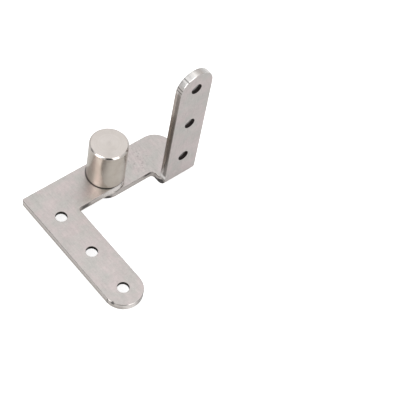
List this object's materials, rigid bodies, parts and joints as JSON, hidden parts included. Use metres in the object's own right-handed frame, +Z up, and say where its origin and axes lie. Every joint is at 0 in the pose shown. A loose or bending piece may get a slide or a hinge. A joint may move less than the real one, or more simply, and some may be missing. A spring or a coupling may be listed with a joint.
{
  "type": "pivot hinge",
  "caption": "Offset door pivot: a folded jamb plate with an upright screw leg, and an L-shaped door plate that turns under a closed bearing barrel.",
  "frame": {"origin": "on the pivot axis, at the jamb plate's underside", "axes": "+Z up along the pivot axis towards the barrel's closed end, +X from the pivot towards the leg, and -Y is the way that the leg's screwed face looks"},
  "size_m": [0.0883, 0.0795, 0.0818],
  "materials": {
    "jamb_sheet": "satin tumbled stainless sheet",
    "door_sheet": "satin tumbled stainless sheet",
    "turned_steel": "fine turned stainless bar",
    "pin_steel": "turned and peened stainless bar",
    "ball_steel": "polished bearing steel",
    "washer_brass": "dull greased brass",
    "bush_brass": "plain bored brass"
  },
  "bodies": {
    "jamb": {"jamb_plate": "jamb_sheet", "pivot_pin": "pin_steel", "thrust_washer": "washer_brass", "thrust_ball": "ball_steel"},
    "door": {"door_plate": "door_sheet", "barrel": "turned_steel", "barrel_bush": "bush_brass"}
  },
  "joints": [
    {"name": "door_pivot", "type": "hinge", "parent": "jamb", "child": "door", "pos_m": [0, 0, 0], "axis": [0, 0, 1], "range_deg": [-180, 95]}
  ]
}
